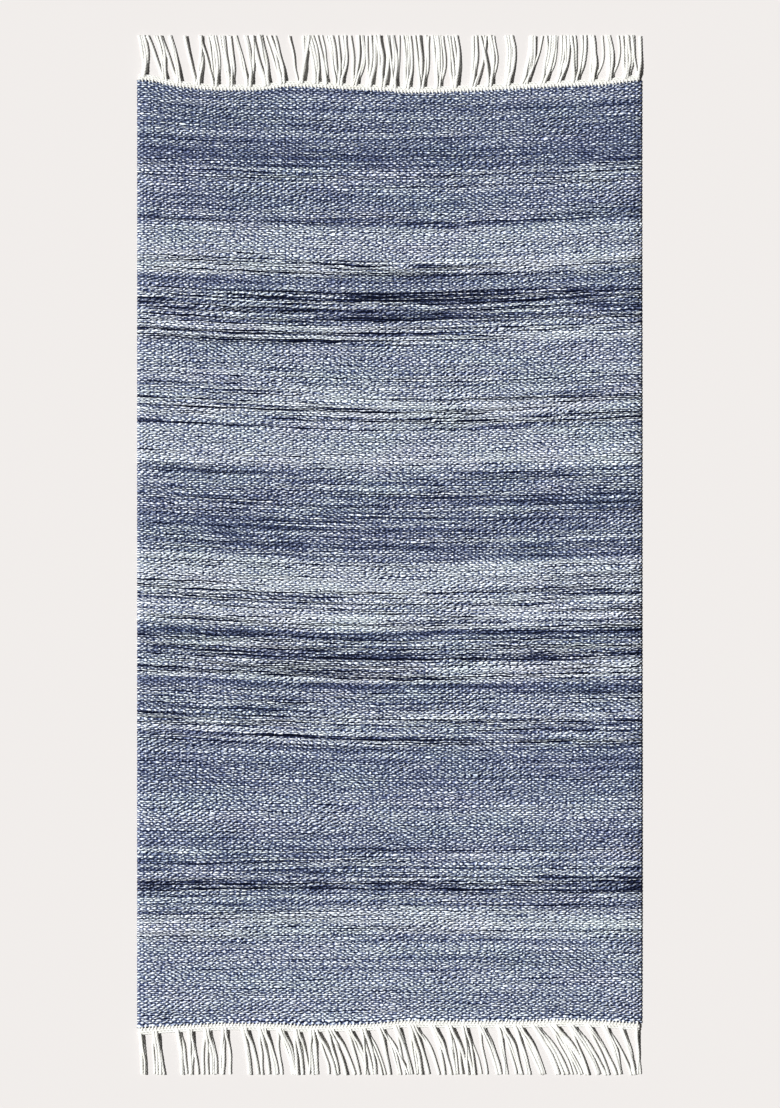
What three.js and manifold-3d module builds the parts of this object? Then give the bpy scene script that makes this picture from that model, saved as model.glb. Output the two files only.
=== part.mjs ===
// Outdoor rug: a flat-woven cloth with a twined heading and a fringe of tassels at each end.
// Millimetres, +Z up. The rug lies on its flat underside, its length along Y, and the origin is at
// the middle of that underside. The head end is the one at +Y.

import * as THREE from "three";
import { mergeVertices } from "three/addons/utils/BufferGeometryUtils.js";
import Module from "manifold-3d";

const wasm = await Module();
wasm.setup();

// Driving dimensions
const WIDTH = 801;
const HALF_LENGTH = 825;
const CLOTH_THICKNESS = 5;
const SELVEDGE_THICKNESS = 4.2;
const SELVEDGE_WIDTH = 9;
const PART_GAP = 0.3;

// The cloth isn't quite even: its face swells in long low waves, and its sides wander. Each wave
// has a height, and a length from crest to crest.
const SWELL_HEIGHT = 0.2;
const SWELL_LENGTH_ACROSS = 820;
const SWELL_LENGTH_ALONG = 1070;
const RIPPLE_HEIGHT = 0.1;
const RIPPLE_LENGTH = 470;
const SIDE_WANDER = 0.7;
const SIDE_WANDER_LENGTH = 560;

// The cloth is divided into this many columns across its width and rows along its length
const CLOTH_COLUMNS = 36;
const CLOTH_ROWS = 26;

// The heading's section, from its inner edge at the cloth to its outer edge at the tassels
const HEAD_HEADING_DEPTH = 9;
const FOOT_HEADING_DEPTH = 10.5;
const HEADING_INNER_HEIGHT = 4;
const HEADING_RIDGE_HEIGHT = 4.8;
const HEADING_OUTER_HEIGHT = 3.6;

// A strand has three sides: a flat one on the floor and two that meet in a ridge
const STRAND_WIDTH = 2.7;
const STRAND_HEIGHT = 2.7;
const STRAND_STEPS = 4;
const STRAND_ROOT_PITCH = 3.2;
const STRAND_INSET = 4;
const STRAND_SWEEP = 1.35;

// Where the cloth ends and the heading begins, across the width
const headEdge = [
  { x: -400, y: 754 },
  { x: -372, y: 752 },
  { x: -350, y: 744.5 },
  { x: -317, y: 741 },
  { x: -279, y: 737 },
  { x: -203, y: 737 },
  { x: -165, y: 743 },
  { x: -127, y: 742.5 },
  { x: -60, y: 738 },
  { x: 0, y: 736 },
  { x: 26, y: 732.5 },
  { x: 82, y: 734 },
  { x: 178, y: 738 },
  { x: 235, y: 741.5 },
  { x: 292, y: 744 },
  { x: 340, y: 745.5 },
  { x: 372, y: 750 },
  { x: 400, y: 753.5 },
];
const footEdge = [
  { x: -400, y: -751 },
  { x: -345, y: -746.5 },
  { x: -297, y: -744.5 },
  { x: -266, y: -742.5 },
  { x: -180, y: -743.5 },
  { x: -130, y: -746.4 },
  { x: -90, y: -745 },
  { x: -42, y: -744.3 },
  { x: -8, y: -742 },
  { x: 22, y: -738.2 },
  { x: 130, y: -739.5 },
  { x: 230, y: -739 },
  { x: 272, y: -737 },
  { x: 335, y: -738.6 },
  { x: 375, y: -741.5 },
  { x: 400, y: -743.5 },
];

// The tassels of each end, from left to right: the middle of each one's root at the heading, the
// stretch of the cut line that its tips cover, and how many strands it has
const headTassels = [
  { root: -390, tipsFrom: -399, tipsTo: -388, strands: 3 },
  { root: -357, tipsFrom: -386, tipsTo: -367, strands: 4 },
  { root: -334, tipsFrom: -365, tipsTo: -345, strands: 4 },
  { root: -304, tipsFrom: -321, tipsTo: -296, strands: 5 },
  { root: -277, tipsFrom: -294, tipsTo: -274, strands: 5 },
  { root: -252, tipsFrom: -271, tipsTo: -251, strands: 5 },
  { root: -223, tipsFrom: -248, tipsTo: -225, strands: 5 },
  { root: -194, tipsFrom: -223, tipsTo: -202, strands: 5 },
  { root: -169, tipsFrom: -199, tipsTo: -178, strands: 5 },
  { root: -142, tipsFrom: -148, tipsTo: -135, strands: 4 },
  { root: -117, tipsFrom: -133, tipsTo: -119, strands: 4 },
  { root: -100, tipsFrom: -117, tipsTo: -106, strands: 3 },
  { root: -82, tipsFrom: -103, tipsTo: -68, strands: 6 },
  { root: -56, tipsFrom: -65, tipsTo: -40, strands: 5 },
  { root: -33, tipsFrom: -38, tipsTo: -19, strands: 5 },
  { root: -12, tipsFrom: -17, tipsTo: 0, strands: 4 },
  { root: 6, tipsFrom: 2, tipsTo: 17, strands: 4 },
  { root: 26, tipsFrom: 19, tipsTo: 35, strands: 4 },
  { root: 50, tipsFrom: 37, tipsTo: 63, strands: 5 },
  { root: 77, tipsFrom: 66, tipsTo: 86, strands: 5 },
  { root: 102, tipsFrom: 88, tipsTo: 108, strands: 5 },
  { root: 131, tipsFrom: 131, tipsTo: 145, strands: 4 },
  { root: 158, tipsFrom: 147, tipsTo: 167, strands: 5 },
  { root: 185, tipsFrom: 183, tipsTo: 197, strands: 4 },
  { root: 212, tipsFrom: 221, tipsTo: 244, strands: 6 },
  { root: 242, tipsFrom: 247, tipsTo: 268, strands: 5 },
  { root: 267, tipsFrom: 271, tipsTo: 289, strands: 5 },
  { root: 293, tipsFrom: 291, tipsTo: 313, strands: 5 },
  { root: 321, tipsFrom: 315, tipsTo: 340, strands: 5 },
  { root: 348, tipsFrom: 342, tipsTo: 365, strands: 5 },
  { root: 375, tipsFrom: 367, tipsTo: 388, strands: 5 },
  { root: 393, tipsFrom: 390, tipsTo: 400, strands: 2 },
];
const footTassels = [
  { root: -395, tipsFrom: -399, tipsTo: -385, strands: 3 },
  { root: -372, tipsFrom: -375, tipsTo: -351, strands: 5 },
  { root: -336, tipsFrom: -330, tipsTo: -320, strands: 3 },
  { root: -317, tipsFrom: -318, tipsTo: -302, strands: 4 },
  { root: -290, tipsFrom: -298, tipsTo: -272, strands: 5 },
  { root: -263, tipsFrom: -270, tipsTo: -250, strands: 4 },
  { root: -232, tipsFrom: -223, tipsTo: -206, strands: 4 },
  { root: -203, tipsFrom: -204, tipsTo: -175, strands: 6 },
  { root: -175, tipsFrom: -173, tipsTo: -144, strands: 6 },
  { root: -148, tipsFrom: -141, tipsTo: -126, strands: 4 },
  { root: -122, tipsFrom: -124, tipsTo: -89, strands: 6 },
  { root: -96, tipsFrom: -86, tipsTo: -52, strands: 6 },
  { root: -66, tipsFrom: -50, tipsTo: -32, strands: 4 },
  { root: -42, tipsFrom: -29, tipsTo: -4, strands: 5 },
  { root: -15, tipsFrom: -2, tipsTo: 20, strands: 5 },
  { root: 10, tipsFrom: 22, tipsTo: 37, strands: 4 },
  { root: 36, tipsFrom: 39, tipsTo: 82, strands: 7 },
  { root: 67, tipsFrom: 85, tipsTo: 100, strands: 4 },
  { root: 94, tipsFrom: 102, tipsTo: 128, strands: 5 },
  { root: 117, tipsFrom: 130, tipsTo: 148, strands: 4 },
  { root: 144, tipsFrom: 152, tipsTo: 179, strands: 5 },
  { root: 175, tipsFrom: 182, tipsTo: 213, strands: 6 },
  { root: 202, tipsFrom: 216, tipsTo: 249, strands: 6 },
  { root: 229, tipsFrom: 263, tipsTo: 286, strands: 5 },
  { root: 256, tipsFrom: 288, tipsTo: 317, strands: 6 },
  { root: 286, tipsFrom: 319, tipsTo: 344, strands: 5 },
  { root: 313, tipsFrom: 346, tipsTo: 362, strands: 4 },
  { root: 340, tipsFrom: 364, tipsTo: 378, strands: 4 },
  { root: 367, tipsFrom: 379, tipsTo: 390, strands: 3 },
  { root: 391, tipsFrom: 392, tipsTo: 400, strands: 2 },
];

const woven = new THREE.MeshStandardMaterial({ color: 0x7884a2, roughness: 0.95, metalness: 0 });
const creamYarn = new THREE.MeshStandardMaterial({ color: 0xf3f0e6, roughness: 0.9, metalness: 0 });

// Height of an edge table at x, straight from row to row
function edgeAt(table, x) {
  const next = table.findIndex((row) => row.x > x);
  if (next < 0) return table[table.length - 1].y;
  if (next === 0) return table[0].y;
  const before = table[next - 1];
  const after = table[next];
  return THREE.MathUtils.mapLinear(x, before.x, after.x, before.y, after.y);
}

// Moves each point of a geometry of unit size, and keeps only positions, with shared points merged
function reshape(geometry, place) {
  geometry.deleteAttribute("normal");
  geometry.deleteAttribute("uv");
  const merged = mergeVertices(geometry);
  const position = merged.getAttribute("position");
  for (let i = 0; i < position.count; i += 1) {
    const [x, y, z] = place(position.getX(i), position.getY(i), position.getZ(i));
    position.setXYZ(i, x, y, z);
  }
  merged.computeVertexNormals();
  return merged;
}

// A wave from -1 to 1 over a distance
function wave(distance, length) {
  return Math.sin((2 * Math.PI * distance) / length);
}

// Place across the width, from u = 0 at the left side to 1 at the right, at a height y of the rug
function across(u, y) {
  const half = WIDTH / 2 - SIDE_WANDER;
  return THREE.MathUtils.lerp(-half, half, u) + SIDE_WANDER * wave(y, SIDE_WANDER_LENGTH);
}

// Height of the upper face, which thins at the selvedges
function clothHeight(x, y) {
  const fromSide = THREE.MathUtils.clamp((WIDTH / 2 - Math.abs(x)) / SELVEDGE_WIDTH, 0, 1);
  const body = THREE.MathUtils.lerp(SELVEDGE_THICKNESS, CLOTH_THICKNESS, fromSide);
  const swell = wave(x, SWELL_LENGTH_ACROSS) * wave(y, SWELL_LENGTH_ALONG);
  return body + SWELL_HEIGHT * swell + RIPPLE_HEIGHT * wave(y, RIPPLE_LENGTH);
}

// Columns have one width but for the first and last, which are as wide as a selvedge
function columnPlace(i) {
  const edge = SELVEDGE_WIDTH / WIDTH;
  if (i === 0 || i === CLOTH_COLUMNS) return i / CLOTH_COLUMNS;
  return THREE.MathUtils.mapLinear(i, 1, CLOTH_COLUMNS - 1, edge, 1 - edge);
}

function makeCloth() {
  const block = new THREE.BoxGeometry(1, 1, 1, CLOTH_COLUMNS, CLOTH_ROWS, 1);
  return reshape(block, (bx, by, bz) => {
    const x = across(columnPlace(Math.round((bx + 0.5) * CLOTH_COLUMNS)), 2 * by * HALF_LENGTH);
    const y = THREE.MathUtils.lerp(edgeAt(footEdge, x), edgeAt(headEdge, x), by + 0.5);
    return [x, y, bz < 0 ? 0 : clothHeight(x, y)];
  });
}

// One end of the rug: which way it points, its edge table, its heading's depth and its tassels
const ends = {
  head: { sign: 1, edge: headEdge, depth: HEAD_HEADING_DEPTH, tassels: headTassels },
  foot: { sign: -1, edge: footEdge, depth: FOOT_HEADING_DEPTH, tassels: footTassels },
};

// The heading is a strip that follows the cloth's end, a part gap away from it
function makeHeading({ sign, edge, depth }) {
  const block = new THREE.BoxGeometry(1, 1, 1, CLOTH_COLUMNS, 2, 1);
  const heights = [HEADING_INNER_HEIGHT, HEADING_RIDGE_HEIGHT, HEADING_OUTER_HEIGHT];
  return reshape(block, (bx, by, bz) => {
    const x = across(columnPlace(Math.round((bx + 0.5) * CLOTH_COLUMNS)), sign * HALF_LENGTH);
    const outward = sign * by + 0.5;
    const y = edgeAt(edge, x) + sign * THREE.MathUtils.lerp(PART_GAP, depth, outward);
    return [x, y, bz < 0 ? 0 : heights[Math.round(outward * 2)]];
  });
}

// One strand from inside the heading to the cut line, sweeping from its root's x to its tip's x
const strandSection = new THREE.Shape([
  new THREE.Vector2(-STRAND_WIDTH / 2, 0),
  new THREE.Vector2(STRAND_WIDTH / 2, 0),
  new THREE.Vector2(0, STRAND_HEIGHT),
]);
const strandOptions = { depth: 1, steps: STRAND_STEPS, bevelEnabled: false };

function makeStrand({ sign, edge, depth }, rootX, tipX) {
  const rootY = edgeAt(edge, rootX) + sign * (depth - STRAND_INSET);
  const tipY = sign * HALF_LENGTH;
  const straight = new THREE.ExtrudeGeometry(strandSection, strandOptions);
  return reshape(straight, (sx, sz, along) => {
    const s = sign > 0 ? 1 - along : along;
    const sweep = STRAND_SWEEP * s - (STRAND_SWEEP - 1) * s * s;
    const x = THREE.MathUtils.lerp(rootX, tipX, sweep) + sx;
    return [x, THREE.MathUtils.lerp(rootY, tipY, s), sz];
  });
}

function toSolid(geometry) {
  const mesh = new wasm.Mesh({
    numProp: 3,
    vertProperties: new Float32Array(geometry.getAttribute("position").array),
    triVerts: new Uint32Array(geometry.getIndex().array),
  });
  return new wasm.Manifold(mesh);
}

function toGeometry(solid) {
  const mesh = solid.getMesh();
  const geometry = new THREE.BufferGeometry();
  geometry.setAttribute("position", new THREE.BufferAttribute(mesh.vertProperties, 3));
  geometry.setIndex(new THREE.BufferAttribute(mesh.triVerts, 1));
  geometry.computeVertexNormals();
  return geometry;
}

// The heading with all its tassels: the strands stand apart and are fused at their roots
function makeFringe(end) {
  let solid = toSolid(makeHeading(end));
  for (const tassel of end.tassels) {
    const tipPitch = (tassel.tipsTo - tassel.tipsFrom) / tassel.strands;
    for (let i = 0; i < tassel.strands; i += 1) {
      const rootX = tassel.root + STRAND_ROOT_PITCH * (i - (tassel.strands - 1) / 2);
      const tipX = tassel.tipsFrom + tipPitch * (i + 0.5);
      solid = solid.add(toSolid(makeStrand(end, rootX, tipX)));
    }
  }
  return toGeometry(solid);
}

function named(name, geometry, material) {
  const mesh = new THREE.Mesh(geometry, material);
  mesh.name = name;
  return mesh;
}

const rug = new THREE.Group();
rug.add(named("rug_field", makeCloth(), woven));
rug.add(named("fringe_head", makeFringe(ends.head), creamYarn));
rug.add(named("fringe_foot", makeFringe(ends.foot), creamYarn));

export default rug;
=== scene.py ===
import math

import bpy
import numpy as np
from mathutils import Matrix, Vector


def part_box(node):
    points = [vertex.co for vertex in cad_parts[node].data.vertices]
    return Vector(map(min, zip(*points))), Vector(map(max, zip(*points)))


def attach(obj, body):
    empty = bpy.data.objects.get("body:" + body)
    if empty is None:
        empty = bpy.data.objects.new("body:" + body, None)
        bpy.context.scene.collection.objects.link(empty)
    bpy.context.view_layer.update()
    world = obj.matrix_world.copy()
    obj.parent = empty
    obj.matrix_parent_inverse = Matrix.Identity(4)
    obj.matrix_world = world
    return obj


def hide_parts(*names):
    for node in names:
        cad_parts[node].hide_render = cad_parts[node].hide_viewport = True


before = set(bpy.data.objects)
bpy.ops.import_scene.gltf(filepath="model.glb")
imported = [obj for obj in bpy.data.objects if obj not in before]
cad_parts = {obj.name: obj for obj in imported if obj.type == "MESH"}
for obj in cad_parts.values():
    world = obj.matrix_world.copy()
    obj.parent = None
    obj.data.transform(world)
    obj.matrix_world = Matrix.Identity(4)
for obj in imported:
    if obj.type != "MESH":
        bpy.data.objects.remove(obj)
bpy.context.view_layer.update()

# Units: the tables below are in millimetres, and the meshes in metres
MM = 0.001

# Driving sizes, from the frame: the cloth's box and the lines where the fringes are cut off
cloth_low, cloth_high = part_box("rug_field")
HEAD_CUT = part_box("fringe_head")[1].y / MM
FOOT_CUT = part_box("fringe_foot")[0].y / MM
SIDE = (cloth_high.x - cloth_low.x) / 2 / MM
CLOTH_HEIGHT = 5.0

# The weave: warp ends across the width, picks of weft along the length
WARPS = 146
PICKS = 509
WARP_PITCH = 2 * SIDE / WARPS
RELIEF = 0.4
SEED = 11

# Where the cloth ends and the heading begins, across the width: x, y
HEAD_EDGE = (
    (-400, 754), (-372, 752), (-350, 744.5), (-317, 741), (-279, 737), (-203, 737),
    (-165, 743), (-127, 742.5), (-60, 738), (0, 736), (26, 732.5), (82, 734),
    (178, 738), (235, 741.5), (292, 744), (340, 745.5), (372, 750), (400, 753.5),
)
FOOT_EDGE = (
    (-400, -751), (-345, -746.5), (-297, -744.5), (-266, -742.5), (-180, -743.5), (-130, -746.4),
    (-90, -745), (-42, -744.3), (-8, -742), (22, -738.2), (130, -739.5), (230, -739),
    (272, -737), (335, -738.6), (375, -741.5), (400, -743.5),
)

# Tassels from left to right: root's middle, first and last x that its tips cover, yarns
HEAD_TASSELS = (
    (-390, -399, -388, 3), (-357, -386, -367, 4), (-334, -365, -345, 4), (-304, -321, -296, 5),
    (-277, -294, -274, 5), (-252, -271, -251, 5), (-223, -248, -225, 5), (-194, -223, -202, 5),
    (-169, -199, -178, 5), (-142, -148, -135, 4), (-117, -133, -119, 4), (-100, -117, -106, 3),
    (-82, -103, -68, 6), (-56, -65, -40, 5), (-33, -38, -19, 5), (-12, -17, 0, 4),
    (6, 2, 17, 4), (26, 19, 35, 4), (50, 37, 63, 5), (77, 66, 86, 5),
    (102, 88, 108, 5), (131, 131, 145, 4), (158, 147, 167, 5), (185, 183, 197, 4),
    (212, 221, 244, 6), (242, 247, 268, 5), (267, 271, 289, 5), (293, 291, 313, 5),
    (321, 315, 340, 5), (348, 342, 365, 5), (375, 367, 388, 5), (393, 390, 400, 2),
)
FOOT_TASSELS = (
    (-395, -399, -385, 3), (-372, -375, -351, 5), (-336, -330, -320, 3), (-317, -318, -302, 4),
    (-290, -298, -272, 5), (-263, -270, -250, 4), (-232, -223, -206, 4), (-203, -204, -175, 6),
    (-175, -173, -144, 6), (-148, -141, -126, 4), (-122, -124, -89, 6), (-96, -86, -52, 6),
    (-66, -50, -32, 4), (-42, -29, -4, 5), (-15, -2, 20, 5), (10, 22, 37, 4),
    (36, 39, 82, 7), (67, 85, 100, 4), (94, 102, 128, 5), (117, 130, 148, 4),
    (144, 152, 179, 5), (175, 182, 213, 6), (202, 216, 249, 6), (229, 263, 286, 5),
    (256, 288, 317, 6), (286, 319, 344, 5), (313, 346, 362, 4), (340, 364, 378, 4),
    (367, 379, 390, 3), (391, 392, 400, 2),
)

# Each end: which way it points, its edge, its cut line, its heading's depth, how far its
# tassels bow to the right, and the tassels
ENDS = {
    "head": dict(sign=1, edge=HEAD_EDGE, cut=HEAD_CUT, depth=9.0, bow=3.5, tassels=HEAD_TASSELS),
    "foot": dict(sign=-1, edge=FOOT_EDGE, cut=FOOT_CUT, depth=10.5, bow=0.8, tassels=FOOT_TASSELS),
}

# How far a pick rises towards the left and the right selvedge, above its middle: y, left, right
LIE = (
    (-700, -6, -2), (-580, -2, 2), (-480, -3, 2), (-400, 6, 1), (-300, 13.5, 2.5),
    (-100, 15, 5), (90, 15.5, 6), (280, 13, 11), (470, 11.5, 13.5), (660, 14.5, 13.5),
)

# The yarns of a band: how pale they are on average, and how far they stray from that
NAVY = 0.8
DENIM = 1.0
MIDDLE = 1.25
LIGHT = 1.5
PALE = 1.9
QUIET = 0.3
MIXED = 0.55
STREAKY = 1.0

# Dyed bands from head to foot, read one by one: the y where a band starts, and its yarns
BANDS = (
    (760, DENIM, QUIET), (650, NAVY, QUIET), (610, MIDDLE, MIXED), (575, DENIM, QUIET),
    (540, DENIM, MIXED), (515, LIGHT, QUIET), (470, PALE, STREAKY), (440, DENIM, QUIET),
    (415, DENIM, STREAKY), (365, LIGHT, STREAKY), (335, MIDDLE, QUIET), (290, LIGHT, MIXED),
    (250, PALE, STREAKY), (225, LIGHT, STREAKY), (195, LIGHT, QUIET), (155, PALE, MIXED),
    (135, MIDDLE, MIXED), (100, DENIM, MIXED), (-5, PALE, MIXED), (-50, PALE, STREAKY),
    (-115, NAVY, MIXED), (-130, MIDDLE, STREAKY), (-170, PALE, STREAKY), (-200, NAVY, QUIET),
    (-215, MIDDLE, MIXED), (-255, MIDDLE, STREAKY), (-305, DENIM, QUIET), (-385, MIDDLE, QUIET),
    (-430, DENIM, QUIET), (-465, MIDDLE, MIXED), (-510, DENIM, STREAKY), (-535, MIDDLE, MIXED),
    (-570, PALE, MIXED), (-605, MIDDLE, QUIET),
)

# Yarn tones from navy to off-white: place on the ramp, and the display colour there
YARN_TONES = (
    (0.0, (7, 12, 32)),
    (0.25, (58, 67, 99)),
    (0.5, (114, 124, 157)),
    (0.75, (178, 187, 207)),
    (1.0, (235, 240, 246)),
)
CREAM_TONES = ((0.3, (217, 216, 209)), (0.65, (231, 231, 227)))
# The yarn's tone before the painted groove shade darkens it, at the most
PALEST = 2.5
# How far a streaky band's yarns stray from its tone, and how far painted shade deepens its grooves where
# picks stand apart
STREAK = 3.9
GAP_SHADE_DEPTH = 6.0
# Millimetres along a yarn: the runs of one tone, and the gaps where two picks stand apart and painted
# shade deepens
DYE_RUN = 700
GAP_RUN = 600

# How far a pick rides up or down, in picks, and how far its floats slide along it, in radians
RIDE = 0.45
SLIDE = 1.7
# A float: its rise over a warp end, how fast it falls off sideways, its least and most lean
LIFT = 0.62
ROUNDING = 3.0
LEAN = (-0.3, 0.6)
# Least and most: a float's own share of the tone, the groove heights where painted shade is full and
# where it ends, the green's share
FLOAT_SHARES = (0.66, 1.32)
PAINTED_SHADE_HEIGHTS = (-0.62, 0.3)
GREEN_SHARES = (0.985, 1.05)
# Bump heights: of the weave, of the cloth's fibres and of the cream yarn's fibres
WEAVE_BUMP = 1.65
FIBRE_BUMP = 0.25
CREAM_BUMP = 0.3

# The selvedge rounds down: warp ends in from the side, and the drop there
SELVEDGE_WARPS = (0, 0.17, 0.5, 1.5, 3, 6)
SELVEDGE_DROPS = (3.6, 3.0, 2.3, 1.1, 0.3, 0)
# How far the cloth's face lies below its height, and its first and last row below that
FACE_DROP = 0.45
END_DROP = 1.0
# How the picks wander: by how many millimetres, over how many picks and warp ends
WANDERS = ((0.9, 40, 60), (0.4, 1.5, 14), (0.15, 1, 2))
# The share of the cloth's length, at each end, over which the heading holds the picks still
HELD_SHARE = 0.05
# The first picks at the foot are wider than the others
WIDE_PICKS = 2
WIDE_PICK = 1.6
UNDER_COLUMNS = 13
UNDER_HEIGHT = 0.1
UNDER_INSET = 1.2

# Fringe yarns: half their width, their height as a share of it, points, length of one twist
YARN_RADIUS = 2.0
YARN_SQUASH = 0.5
YARN_STEPS = 34
YARN_TWIST = 10.0
# From yarn to yarn at a tassel's root
ROOT_PITCH = 3.1
# Shares of the tassels that cross, and of the yarns that stray or curl at the tip
CROSSING_SHARE = 0.5
STRAY_SHARE = 0.14
CURL_SHARE = 0.3
# Least and most: a yarn's share of the usual thickness, a tassel's share of its end's bow, how
# far a stray tip lies off, how far a yarn sways
THICKNESS_SHARES = (0.7, 1.3)
BOW_SHARES = (0.5, 1.5)
STRAY_REACH = (6, 13)
SWAY = (0.1, 1.5)
# How far a tip may curl, how uneven the cut is, and how far the yarns keep in from the side
CURL = 9
CUT_UNEVENNESS = 1.6
SIDE_MARGIN = 1.5
# How high a tassel's lower yarns pile up near the root, and its upper ones above them
PILE_LOW = 0.3
PILE_STEP = 4.2

# The heading's three cords from the cloth outwards: their height, and how far their radius
# passes half of a third of the heading's depth
CORD_HEIGHTS = (3.0, 2.9, 2.1)
CORD_SWELLS = (0.12, 0.12, -0.1)
CORD_STEP = 1.35
HEADING_INSET = 3.2

FLOOR_COLOUR = (0.605, 0.583, 0.569, 1)
FLOOR_REACH = 40000
FLOOR_HEIGHT = -0.2
SKY_COLOUR = (0.95, 0.97, 1.0, 1)
SKY_STRENGTH = 0.05
SUN_ENERGY = 6.0
SUN_DEGREES = 1.8
TOWARDS_SUN = (-0.9, 0.15, 1.0)

# The camera: the picture's height in pixels, millimetres a pixel, and the middle it looks at
PICTURE_HEIGHT = 1108
MM_PER_PIXEL = 1.587
PICTURE_MIDDLE = (0.8, 1.6, 0)
LENS = 85.0
SENSOR = 36.0


def edge_at(table, x):
    """Height of an edge at x, rounded off between the table's rows."""
    rows = np.array(table, float)
    reach = np.linspace(-14, 14, 7)
    return sum(np.interp(x + r, rows[:, 0], rows[:, 1]) for r in reach) / len(reach)


def rise_at(x, middle):
    """How far a pick lies above its own middle at x: the picks bow, and follow the edges at the ends."""
    half_width, bow_power, end_reach = 400, 1.5, 90
    rows = np.array(LIE, float)
    left = np.interp(middle, rows[:, 0], rows[:, 1])
    right = np.interp(middle, rows[:, 0], rows[:, 2])
    side = np.where(x < 0, left, right) * (np.abs(x) / half_width) ** bow_power
    head_middle = edge_at(HEAD_EDGE, 0.0)
    foot_middle = edge_at(FOOT_EDGE, 0.0)
    near_head = np.clip((middle - head_middle + end_reach) / end_reach, 0, 1) ** 2
    near_foot = np.clip((foot_middle + end_reach - middle) / end_reach, 0, 1) ** 2
    return (
        (1 - near_head - near_foot) * side
        + near_head * (edge_at(HEAD_EDGE, x) - head_middle)
        + near_foot * (edge_at(FOOT_EDGE, x) - foot_middle)
    )


def band_at(y):
    """How pale and how streaky the dye is at y, with each band's border a pick or two soft."""
    rows = np.array(BANDS, float)
    shifts = (-3, -1, 1, 3)
    blurred = 0
    for shift in shifts:
        band = np.searchsorted(-rows[:, 0], -(y + shift), side="right") - 1
        blurred = blurred + rows[np.clip(band, 0, None), 1:] / len(shifts)
    return blurred[..., 0], blurred[..., 1]


def soft_noise(rng, rows, columns, row_length, column_length):
    """A smooth random field with unit spread, whose features are as many cells long as given."""
    white = rng.standard_normal((rows, columns))
    row_wave = np.fft.fftfreq(rows)[:, None] * row_length
    column_wave = np.fft.rfftfreq(columns)[None, :] * column_length
    smooth = np.fft.irfft2(
        np.fft.rfft2(white) * np.exp(-((row_wave**2 + column_wave**2) * 4)), s=(rows, columns)
    )
    return (smooth - smooth.mean()) / smooth.std()


def bell(distance, width):
    """A smooth bump: 1 at no distance, and nearly nothing past twice the width."""
    return np.exp(-((distance / width) ** 2))


def linear(value):
    """A display value from 0 to 255 as linear light."""
    part = value / 255
    return part / 12.92 if part <= 0.04045 else ((part + 0.055) / 1.055) ** 2.4


class Nodes:
    """Short calls for building a material's node tree."""

    def __init__(self, name):
        self.material = bpy.data.materials.new(name)
        self.material.use_nodes = True
        self.tree = self.material.node_tree
        self.shader = self.tree.nodes["Principled BSDF"]

    def put(self, socket, value):
        if isinstance(value, bpy.types.NodeSocket):
            self.tree.links.new(value, socket)
        else:
            socket.default_value = value

    def node(self, kind, output=0, inputs=(), **settings):
        made = self.tree.nodes.new(kind)
        for key, value in settings.items():
            setattr(made, key, value)
        for key, value in dict(inputs).items():
            self.put(made.inputs[key], value)
        return made.outputs[output]

    def math(self, operation, *values):
        return self.node("ShaderNodeMath", inputs=enumerate(values), operation=operation)

    def add(self, first, second):
        return self.math("ADD", first, second)

    def subtract(self, first, second):
        return self.math("SUBTRACT", first, second)

    def times(self, first, second):
        return self.math("MULTIPLY", first, second)

    def attribute(self, name, output):
        return self.node("ShaderNodeAttribute", output, attribute_name=name)

    def vector(self, x, y, z=0.0):
        return self.node("ShaderNodeCombineXYZ", inputs={0: x, 1: y, 2: z})

    def split(self, vector):
        """The x and y of a vector."""
        made = self.tree.nodes.new("ShaderNodeSeparateXYZ")
        self.put(made.inputs[0], vector)
        return made.outputs[0], made.outputs[1]

    def noise(self, vector, scale, detail=2.0, roughness=0.5):
        inputs = {"Vector": vector, "Scale": scale, "Detail": detail, "Roughness": roughness}
        return self.node("ShaderNodeTexNoise", "Fac", inputs)

    def over_cloth(self, u, row, along, across, plane, detail=1.0, roughness=0.5):
        """Noise over the cloth: how fast it changes for each warp end and each row, and its layer."""
        place = self.vector(self.times(u, along), self.times(row, across), plane)
        return self.noise(place, 1.0, detail, roughness)

    def spread(self, value, low, high, to_low, to_high):
        inputs = {0: value, 1: low, 2: high, 3: to_low, 4: to_high}
        return self.node("ShaderNodeMapRange", inputs=inputs)

    def ramp(self, value, stops):
        made = self.tree.nodes.new("ShaderNodeValToRGB")
        elements = made.color_ramp.elements
        while len(elements) < len(stops):
            elements.new(0.5)
        for element, (place, colour) in zip(elements, stops):
            element.position = place
            element.color = (*(linear(c) for c in colour), 1)
        self.put(made.inputs[0], value)
        return made.outputs[0]

    def scale(self, colour, factor):
        """The colour times a number."""
        inputs = {0: colour, "Scale": factor}
        return self.node("ShaderNodeVectorMath", inputs=inputs, operation="SCALE")

    def bump(self, height_mm):
        """A shading normal from a height in millimetres."""
        inputs = {"Height": self.times(height_mm, MM), "Strength": 1.0, "Distance": 1.0}
        return self.node("ShaderNodeBump", inputs=inputs)

    def surface(self, colour, roughness, specular, sheen=0.0, normal=None):
        """Fills in the shader and gives the finished material."""
        self.put(self.shader.inputs["Base Color"], colour)
        if normal is not None:
            self.put(self.shader.inputs["Normal"], normal)
        self.shader.inputs["Roughness"].default_value = roughness
        self.shader.inputs["Specular IOR Level"].default_value = specular
        self.shader.inputs["Sheen Weight"].default_value = sheen
        return self.material


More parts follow.
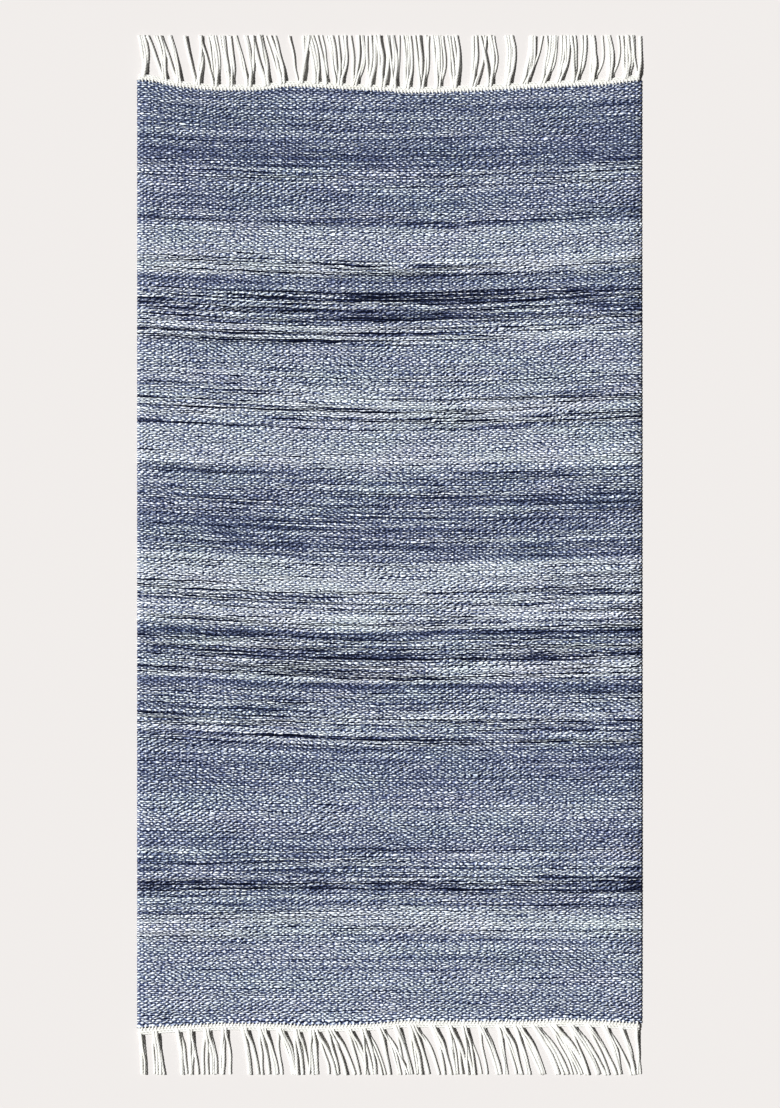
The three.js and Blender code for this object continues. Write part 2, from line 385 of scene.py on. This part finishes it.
def weave_height(n, u, straight_v, v):
    """Plain weave: the height of whichever pick lies on top, and a height that falls off its flanks."""
    lower = n.math("FLOOR", v)
    past_lower = n.subtract(v, lower)
    slide_noise = n.over_cloth(u, straight_v, along=0.45, across=0.6, plane=13.0)
    slide = n.spread(slide_noise, 0.25, 0.75, -SLIDE, SLIDE)
    phase = n.add(n.times(n.add(u, lower), math.pi), slide)
    rise = n.times(n.math("COSINE", phase), LIFT)
    slant_noise = n.over_cloth(u, straight_v, along=0.06, across=0.05, plane=11.0)
    slant = n.spread(slant_noise, 0.3, 0.7, *LEAN)
    lean = n.times(n.times(n.math("SINE", phase), 1 / math.pi), slant)
    from_lower = n.subtract(past_lower, lean)
    from_upper = n.subtract(n.subtract(1.0, past_lower), lean)
    round_lower = n.times(n.times(from_lower, from_lower), ROUNDING)
    round_upper = n.times(n.times(from_upper, from_upper), ROUNDING)
    height_lower = n.subtract(rise, round_lower)
    height_upper = n.subtract(n.times(rise, -1.0), round_upper)
    top = n.math("MAXIMUM", height_lower, height_upper)
    upper_shows = n.math("GREATER_THAN", height_upper, height_lower)
    round_shown = n.add(round_lower, n.times(upper_shows, n.subtract(round_upper, round_lower)))
    flank = n.subtract(n.times(top, 0.5), n.times(round_shown, 0.5))
    return top, flank


def yarn_tone(n, u, v, pale, streaky, place):
    """Space-dyed yarn: each of a pick's two strands has its own runs of tone, and each float a share."""
    strand = n.math("FLOOR", n.add(n.times(v, 2.0), 0.5))
    runs = n.over_cloth(u, strand, WARP_PITCH / DYE_RUN, 2.9, plane=7.0, detail=5.0, roughness=0.82)
    streaks = n.spread(runs, 0.2, 0.8, -STREAK, STREAK)
    floats = n.spread(n.noise(place, 520.0, 0.0), 0.3, 0.7, *FLOAT_SHARES)
    return n.times(n.add(pale, n.times(streaks, streaky)), floats)


def painted_groove_shade(n, u, v, streaky, flank):
    """Painted shade: how much of its tone the yarn keeps; grooves are dark, and deepest where picks
    stand apart.
    """
    lower = n.math("FLOOR", v)
    past_lower = n.subtract(v, lower)
    apart = n.over_cloth(u, lower, WARP_PITCH / GAP_RUN, 2.3, plane=17.0, detail=4.0, roughness=0.62)
    # Painted shade deepens in the groove where two picks stand apart for a few floats.
    apart_shade = n.times(n.spread(apart, 0.5, 0.75, 0.0, GAP_SHADE_DEPTH), n.times(streaky, streaky))
    between = n.times(n.times(past_lower, n.subtract(1.0, past_lower)), 4.0)
    deep = n.subtract(flank, n.times(apart_shade, n.times(between, between)))
    # Painted light over each warp end and painted shade between them.
    dip = n.times(n.math("COSINE", n.times(u, 2 * math.pi)), 0.1)
    return n.spread(n.add(deep, dip), *PAINTED_SHADE_HEIGHTS, 0.0, 1.0)


def cloth_material():
    """Weft-faced plain weave in space-dyed yarn, with painted shade in its grooves, drawn from the
    cloth's own place in the weave.
    """
    n = Nodes("woven_weft")
    u, straight_v = n.split(n.attribute("weave", "Vector"))
    pale, streaky = n.split(n.attribute("dye", "Vector"))
    place = n.node("ShaderNodeTexCoord", "Object")
    ride = n.over_cloth(u, straight_v, along=0.15, across=0.4, plane=5.0)
    v = n.add(straight_v, n.spread(ride, 0.25, 0.75, -RIDE, RIDE))
    top, flank = weave_height(n, u, straight_v, v)
    tone = n.math("MINIMUM", yarn_tone(n, u, v, pale, streaky, place), PALEST)
    # The tone is darkened by the painted groove shade before the ramp gives its colour.
    colour = n.ramp(n.times(tone, painted_groove_shade(n, u, v, streaky, flank)), YARN_TONES)
    green_noise = n.over_cloth(u, v, along=0.04, across=0.07, plane=29.0, detail=2.0)
    green = n.spread(green_noise, 0.3, 0.7, *GREEN_SHARES)
    tints = {0: colour, 1: n.vector(1.0, green, 1.0)}
    tinted = n.node("ShaderNodeVectorMath", inputs=tints, operation="MULTIPLY")
    fibre = n.noise(place, 1400.0, 2.0)
    normal = n.bump(n.add(n.times(top, WEAVE_BUMP), n.times(fibre, FIBRE_BUMP)))
    return n.surface(tinted, roughness=0.92, specular=0.05, sheen=0.02, normal=normal)


def cream_material():
    """Two-ply cream yarn, a little greyer in places, with fine fibres and painted shade in the groove
    between its plies.
    """
    n = Nodes("cream_yarn")
    place = n.node("ShaderNodeTexCoord", "Object")
    patches = n.noise(place, 60.0, 2.0)
    fibre = n.noise(place, 1500.0, 3.0)
    tone = n.add(n.times(patches, 0.7), n.times(fibre, 0.3))
    # Painted shade: the yarn is darker in the groove between its two plies.
    shade = n.spread(n.attribute("ply", "Fac"), 0.0, 0.4, 0.5, 1.0)
    colour = n.scale(n.ramp(tone, CREAM_TONES), shade)
    normal = n.bump(n.times(fibre, CREAM_BUMP))
    return n.surface(colour, roughness=0.88, specular=0.25, sheen=0.15, normal=normal)


def mesh_object(name, points, faces, material, attributes=()):
    """An object from numpy points in millimetres and triangles or quads, smooth shaded."""
    mesh = bpy.data.meshes.new(name)
    faces = np.asarray(faces, np.int32)
    corners = faces.shape[1]
    mesh.vertices.add(len(points))
    mesh.vertices.foreach_set("co", (np.asarray(points, np.float32) * MM).ravel())
    mesh.loops.add(faces.size)
    mesh.loops.foreach_set("vertex_index", faces.ravel())
    mesh.polygons.add(len(faces))
    mesh.polygons.foreach_set("loop_start", np.arange(len(faces), dtype=np.int32) * corners)
    mesh.polygons.foreach_set("use_smooth", np.ones(len(faces), bool))
    mesh.update(calc_edges=True)
    for title, kind, values in attributes:
        layer = mesh.attributes.new(title, kind, "POINT")
        field = "vector" if kind == "FLOAT_VECTOR" else "value"
        layer.data.foreach_set(field, np.asarray(values, np.float32).ravel())
    mesh.materials.append(material)
    made = bpy.data.objects.new(name, mesh)
    bpy.context.collection.objects.link(made)
    return made


def grid_faces(index):
    """Triangles over a grid of point numbers, anticlockwise as the grid is seen."""
    a, b, c, d = index[:-1, :-1], index[:-1, 1:], index[1:, 1:], index[1:, :-1]
    return np.r_[np.stack([a, b, c], -1).reshape(-1, 3), np.stack([a, c, d], -1).reshape(-1, 3)]


def zip_faces(first, second):
    """Triangles between two runs of point numbers with the same ends but not the same count."""
    made = []
    i, k = 0, 0
    last_i, last_k = len(first) - 1, len(second) - 1
    while i < last_i or k < last_k:
        first_is_behind = i < last_i and (i + 1) * last_k <= (k + 1) * last_i
        if k == last_k or first_is_behind:
            made.append((first[i], second[k], first[i + 1]))
            i += 1
        else:
            made.append((first[i], second[k], second[k + 1]))
            k += 1
    return np.array(made)


def place_along(v):
    """How far along the cloth a pick lies, from 0 at the foot to 1 at the head."""
    widths = np.ones(PICKS)
    widths[:WIDE_PICKS] = WIDE_PICK
    travelled = np.r_[0, np.cumsum(widths)]
    return np.interp(v, np.arange(PICKS + 1) - 0.5, travelled / travelled[-1])


def make_cloth(material):
    """The cloth as one closed sheet: a point at each crossing of a warp end and a pick."""
    rng = np.random.default_rng(SEED)
    warps = np.r_[-0.5, -0.33, np.arange(WARPS), WARPS - 0.67, WARPS - 0.5]
    picks = np.r_[-0.5, np.arange(PICKS), PICKS - 0.5]
    size = (len(picks), len(warps))
    x = (-SIDE + (warps + 0.5) * WARP_PITCH)[None, :].repeat(size[0], 0)
    v = picks[:, None].repeat(size[1], 1)

    # The picks bow and wander, and the headings hold them at the ends
    along = place_along(v)
    foot, head = edge_at(FOOT_EDGE, 0.0), edge_at(HEAD_EDGE, 0.0)
    middle = foot + (head - foot) * along
    loose = np.clip(np.minimum(along, 1 - along) / HELD_SHARE, 0, 1)
    wander = sum(reach * soft_noise(rng, *size, *lengths) for reach, *lengths in WANDERS)
    y = middle + rise_at(x, middle) + wander * loose
    free = np.interp(warps, [0, 4, WARPS - 5, WARPS - 1], [0, 1, 1, 0])
    x += (0.9 * soft_noise(rng, *size, 20, 30) + 0.6 * soft_noise(rng, *size, 1, 1.5)) * free

    # The face rises where a pick passes over a warp end, and rounds down to the selvedges
    parity = np.cos(math.pi * (np.round(warps)[None, :] + np.round(v)))
    swell = 0.25 * soft_noise(rng, *size, 120, 60)
    z = CLOTH_HEIGHT - FACE_DROP + swell + RELIEF * parity
    from_side = np.minimum(warps + 0.5, WARPS - 0.5 - warps)
    z -= np.interp(from_side, SELVEDGE_WARPS, SELVEDGE_DROPS)[None, :]
    z[[0, -1]] -= END_DROP
    outermost = np.array([0, size[1] - 1])
    x[:, outermost] += np.array([-1, 1])[None, :] * (0.45 * parity[:, outermost] - 0.1)

    # The underside has all the rows but few columns
    under_columns = np.linspace(0, size[1] - 1, UNDER_COLUMNS).round().astype(int)
    under_x = x[:, under_columns].copy()
    under_x[:, 0] += UNDER_INSET
    under_x[:, -1] -= UNDER_INSET

    def both_sides(grid):
        return np.r_[grid.ravel(), grid[:, under_columns].ravel()]

    points = np.c_[
        np.r_[x.ravel(), under_x.ravel()],
        both_sides(y),
        np.r_[z.ravel(), np.full(under_x.size, UNDER_HEIGHT)],
    ]
    top = np.arange(x.size).reshape(size)
    under = x.size + np.arange(under_x.size).reshape(under_x.shape)
    faces = np.vstack([
        grid_faces(top),
        grid_faces(under[:, ::-1]),
        zip_faces(under[:, 0], top[:, 0]),
        zip_faces(top[:, -1], under[:, -1]),
        zip_faces(top[0], under[0]),
        zip_faces(under[-1], top[-1]),
    ])

    # For the material: each point's place in the weave, and the dye of its band
    drift = 3.0 * soft_noise(rng, *size, 40, 50)
    pale, streaky = band_at(middle + drift)
    pale = pale + 0.02 * soft_noise(rng, *size, 6, 60)
    third = np.zeros(len(points))
    weave = np.c_[both_sides(np.broadcast_to(warps, size)), both_sides(v), third]
    dye = np.c_[both_sides(pale), both_sides(streaky), third]
    attributes = (("weave", "FLOAT_VECTOR", weave), ("dye", "FLOAT_VECTOR", dye))
    return mesh_object("rug_cloth", points, faces, material, attributes)


def twisted_tubes(paths, radii, pitch, sides=8, lobe=0.2, squash=1.0):
    """Two-ply yarns along paths in millimetres: points, triangles, and 0 in the groove of the plies."""
    twist_step = 1.7
    points = []
    faces = []
    plies = []
    start = 0
    around = np.arange(sides) * 2 * math.pi / sides
    for number, (path, radius) in enumerate(zip(paths, radii)):
        tangent = np.gradient(path, axis=0)
        tangent /= np.linalg.norm(tangent, axis=1, keepdims=True)
        side = np.cross([0, 0, 1.0], tangent)
        side /= np.linalg.norm(side, axis=1, keepdims=True)
        up = np.cross(tangent, side) * squash
        step = np.linalg.norm(np.diff(path, axis=0), axis=1)
        travelled = np.r_[0, np.cumsum(step)]
        twist = number * twist_step + 2 * math.pi * travelled / pitch
        wave = np.cos(2 * (around[None, :] - twist[:, None]))
        size = radius * (1 + lobe * wave)
        ring = (
            path[:, None, :]
            + side[:, None, :] * (size * np.cos(around))[:, :, None]
            + up[:, None, :] * (size * np.sin(around))[:, :, None]
        )
        count = len(path)
        index = start + np.arange(count * sides).reshape(count, sides)
        wrapped = np.c_[index, index[:, :1]]
        first = start + count * sides
        last = first + 1
        points += [ring.reshape(-1, 3), path[:1], path[-1:]]
        plies.append(np.r_[(wave.ravel() + 1) / 2, 0.5, 0.5])
        faces.append(grid_faces(wrapped))
        faces.append(np.c_[np.full(sides, first), wrapped[0, 1:], wrapped[0, :-1]])
        faces.append(np.c_[np.full(sides, last), wrapped[-1, :-1], wrapped[-1, 1:]])
        start = last + 1
    return np.vstack(points), np.vstack(faces), np.concatenate(plies)


def tip_places(yarns, rng):
    """Where a tassel's tips lie, counted in yarns: bunched by uneven gaps, and some pair may cross."""
    gaps = rng.choice((0.15, 0.3, 2.0), yarns - 1)
    places = np.r_[0, np.cumsum(gaps)] / gaps.sum() * (yarns - 1) + 0.5
    if rng.uniform() < CROSSING_SHARE:
        crossing = rng.integers(yarns - 1)
        places[[crossing, crossing + 1]] = places[[crossing + 1, crossing]]
    return places


def yarn_path(end, root_x, tip_x, offset, layer, bow, rng):
    """One yarn from inside the heading to the cut line; layer 1 piles up over layer 0 at the root."""
    s = np.linspace(0, 1, YARN_STEPS)
    stray = rng.uniform() < STRAY_SHARE
    tip_x += stray * rng.choice((-1, 1)) * rng.uniform(*STRAY_REACH)
    root_y = edge_at(end["edge"], root_x) + end["sign"] * (end["depth"] - 4)
    tip_y = end["sign"] * (abs(end["cut"]) - rng.uniform(0, CUT_UNEVENNESS))
    y = root_y + (tip_y - root_y) * s

    sweep = 1.35 * s - 0.35 * s * s
    gather = 0.42 * bell(s - 0.12, 0.16)
    sway = rng.uniform(*SWAY) * np.sin(math.pi * s) * np.sin(
        2 * math.pi * (rng.uniform(0.5, 1.3) * s + rng.uniform(0, 1))
    )
    curl = rng.uniform(-CURL, CURL) * np.clip(s - 0.8, 0, None) * (rng.uniform() < CURL_SHARE)
    x = root_x + (tip_x - root_x) * sweep - ROOT_PITCH * offset * gather
    x += sway + curl + bow * np.sin(math.pi * s)
    x = np.clip(x, SIDE_MARGIN - SIDE, SIDE - SIDE_MARGIN)

    pile = (PILE_LOW + PILE_STEP * layer) * bell(s, rng.uniform(0.22, 0.45))
    pile *= 1 - 0.45 * bell(s, 0.06)
    start_height = 1.6 * bell(s, 0.08) * (1 - layer)
    z = pile + start_height + (rng.uniform(0, 0.5) + 2.0 * stray) * s
    return np.c_[x, y, z]


def tassel_paths(end, rng):
    """A path for each yarn of an end, from inside the heading to the cut line."""
    paths = []
    for root, tips_from, tips_to, yarns in end["tassels"]:
        tip_pitch = (tips_to - tips_from) / yarns
        bow = end["bow"] * rng.uniform(*BOW_SHARES)
        places = tip_places(yarns, rng)
        for k in range(yarns):
            offset = k - (yarns - 1) / 2
            root_x = root + ROOT_PITCH * offset
            tip_x = tips_from + tip_pitch * places[k]
            paths.append(yarn_path(end, root_x, tip_x, offset, k % 2, bow, rng))
    return paths


def make_tassels(name, end, material):
    """All the yarns of one end as one mesh."""
    rng = np.random.default_rng(SEED + end["sign"] + 5)
    paths = tassel_paths(end, rng)
    radii = YARN_RADIUS * rng.uniform(*THICKNESS_SHARES, len(paths))
    for path, radius in zip(paths, radii):
        path[:, 2] += 1.25 * radius * YARN_SQUASH
    points, faces, plies = twisted_tubes(paths, radii, YARN_TWIST, squash=YARN_SQUASH)
    return mesh_object(name, points, faces, material, (("ply", "FLOAT", plies),))


def heading_cords(end):
    """The three twined cords of a heading, side by side, a little lower at both ends."""
    sign, depth = end["sign"], end["depth"]
    x = np.arange(-SIDE + HEADING_INSET, SIDE - HEADING_INSET, CORD_STEP)
    edge = edge_at(end["edge"], x)
    end_drop = 0.9 * bell(SIDE - np.abs(x), 6)
    cords = []
    for row, height in enumerate(CORD_HEIGHTS):
        y = edge + sign * (0.3 + depth * (row + 0.5) / len(CORD_HEIGHTS))
        z = np.maximum(height - end_drop, CORD_HEIGHTS[-1])
        cords.append(np.c_[x, y, z])
    radii = [depth / (2 * len(CORD_HEIGHTS)) + swell for swell in CORD_SWELLS]
    return twisted_tubes(cords, radii, 2 * WARP_PITCH, lobe=0.16)


def heading_loops(end):
    """A short loop over each warp end but the outermost, from the heading onto the cloth."""
    rng = np.random.default_rng(SEED + end["sign"] + 50)
    reach = np.linspace(0, 1, 6)
    loops = []
    for warp in range(1, WARPS - 1):
        loop_x = -SIDE + (warp + 0.5) * WARP_PITCH + rng.uniform(-0.5, 0.5)
        base = edge_at(end["edge"], loop_x)
        y = base + end["sign"] * (2.8 - rng.uniform(4.2, 6.2) * reach)
        z = 3.8 + 1.3 * np.sin(math.pi * (0.15 + 0.85 * reach)) - 1.0 * reach
        loops.append(np.c_[np.full_like(y, loop_x) + 0.8 * reach, y, z])
    radii = rng.uniform(1.0, 1.5, len(loops))
    return twisted_tubes(loops, radii, 7.0, sides=6, lobe=0.15)


def make_heading(name, end, material):
    """The twined rows that lock the last pick, with their loops, as one mesh."""
    points, faces, plies = heading_cords(end)
    loop_points, loop_faces, loop_plies = heading_loops(end)
    all_points = np.vstack([points, loop_points])
    all_faces = np.vstack([faces, loop_faces + len(points)])
    # The heading's ply values are raised so its painted shade between the plies is paler.
    plies_for_paler_shade = 0.15 + 0.85 * np.r_[plies, loop_plies]
    return mesh_object(name, all_points, all_faces, material, (("ply", "FLOAT", plies_for_paler_shade),))


def make_stage():
    """A plain pale floor, a low sun from the left and a soft sky."""
    floor_material = Nodes("pale_floor").surface(FLOOR_COLOUR, roughness=1.0, specular=0.0)
    around = ((-1, -1), (1, -1), (1, 1), (-1, 1))
    corners = np.array([(FLOOR_REACH * x, FLOOR_REACH * y, FLOOR_HEIGHT) for x, y in around])
    mesh_object("floor", corners, [[0, 1, 2, 3]], floor_material)

    sun = bpy.data.objects.new("sun", bpy.data.lights.new("sun", "SUN"))
    sun.data.energy = SUN_ENERGY
    sun.data.angle = math.radians(SUN_DEGREES)
    sun.rotation_euler = Vector(TOWARDS_SUN).to_track_quat("Z", "Y").to_euler()
    bpy.context.collection.objects.link(sun)

    world = bpy.data.worlds.new("sky")
    world.use_nodes = True
    background = world.node_tree.nodes["Background"]
    background.inputs["Color"].default_value = SKY_COLOUR
    background.inputs["Strength"].default_value = SKY_STRENGTH
    bpy.context.scene.world = world
    bpy.context.scene.view_settings.view_transform = "Standard"


def make_camera():
    """Straight above, with the head end at the top of the picture."""
    distance = PICTURE_HEIGHT * MM_PER_PIXEL * MM * LENS / SENSOR
    camera = bpy.data.objects.new("camera", bpy.data.cameras.new("camera"))
    camera.data.lens = LENS
    camera.data.sensor_width = SENSOR
    camera.data.clip_end = 100
    camera.location = Vector(PICTURE_MIDDLE) * MM + Vector((0, 0, distance))
    bpy.context.collection.objects.link(camera)
    bpy.context.scene.camera = camera


make_camera()
make_stage()
woven = cloth_material()
cream = cream_material()

cloth = make_cloth(woven)
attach(cloth, "root")
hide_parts("rug_field")

for title, end in ENDS.items():
    for piece in (
        make_heading(f"heading_{title}", end, cream),
        make_tassels(f"tassels_{title}", end, cream),
    ):
        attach(piece, "root")
        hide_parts(f"fringe_{title}")
